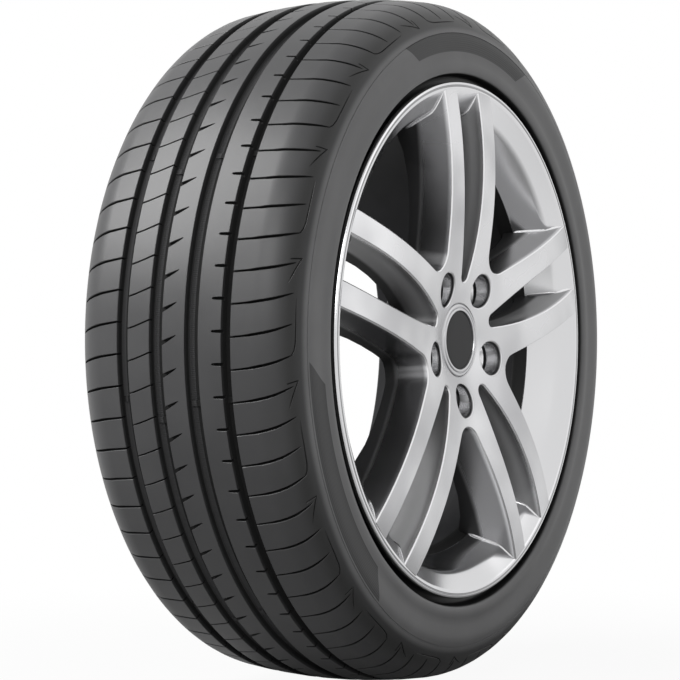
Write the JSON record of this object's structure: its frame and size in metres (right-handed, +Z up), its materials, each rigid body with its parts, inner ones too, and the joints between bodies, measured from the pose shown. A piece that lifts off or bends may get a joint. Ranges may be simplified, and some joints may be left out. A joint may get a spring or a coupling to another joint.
{
  "type": "car wheel with tyre",
  "caption": "Low-profile car tyre with grooved tread, fitted on a cast alloy wheel with paired bowed spokes, hub bore, bolt holes and a snap-in centre cap.",
  "frame": {"origin": "on the axle, midway between the two rim flanges", "axes": "+Y along the axle towards the car, -Y towards the street, +Z up"},
  "size_m": [0.6346, 0.2336, 0.6346],
  "materials": {
    "tyre_rubber": "matte black moulded rubber",
    "machined_alloy": "bright silver cast and turned",
    "cap_plastic": "satin silver bezel",
    "cap_face": "plain dark sunk face of the cap",
    "barrel_paint": "dark paint inside the barrel",
    "valve_rubber": "black rubber valve stem and cap"
  },
  "bodies": {
    "root": {"tyre": "tyre_rubber", "alloy_wheel": "machined_alloy", "centre_cap": "cap_plastic"}
  },
  "joints": []
}
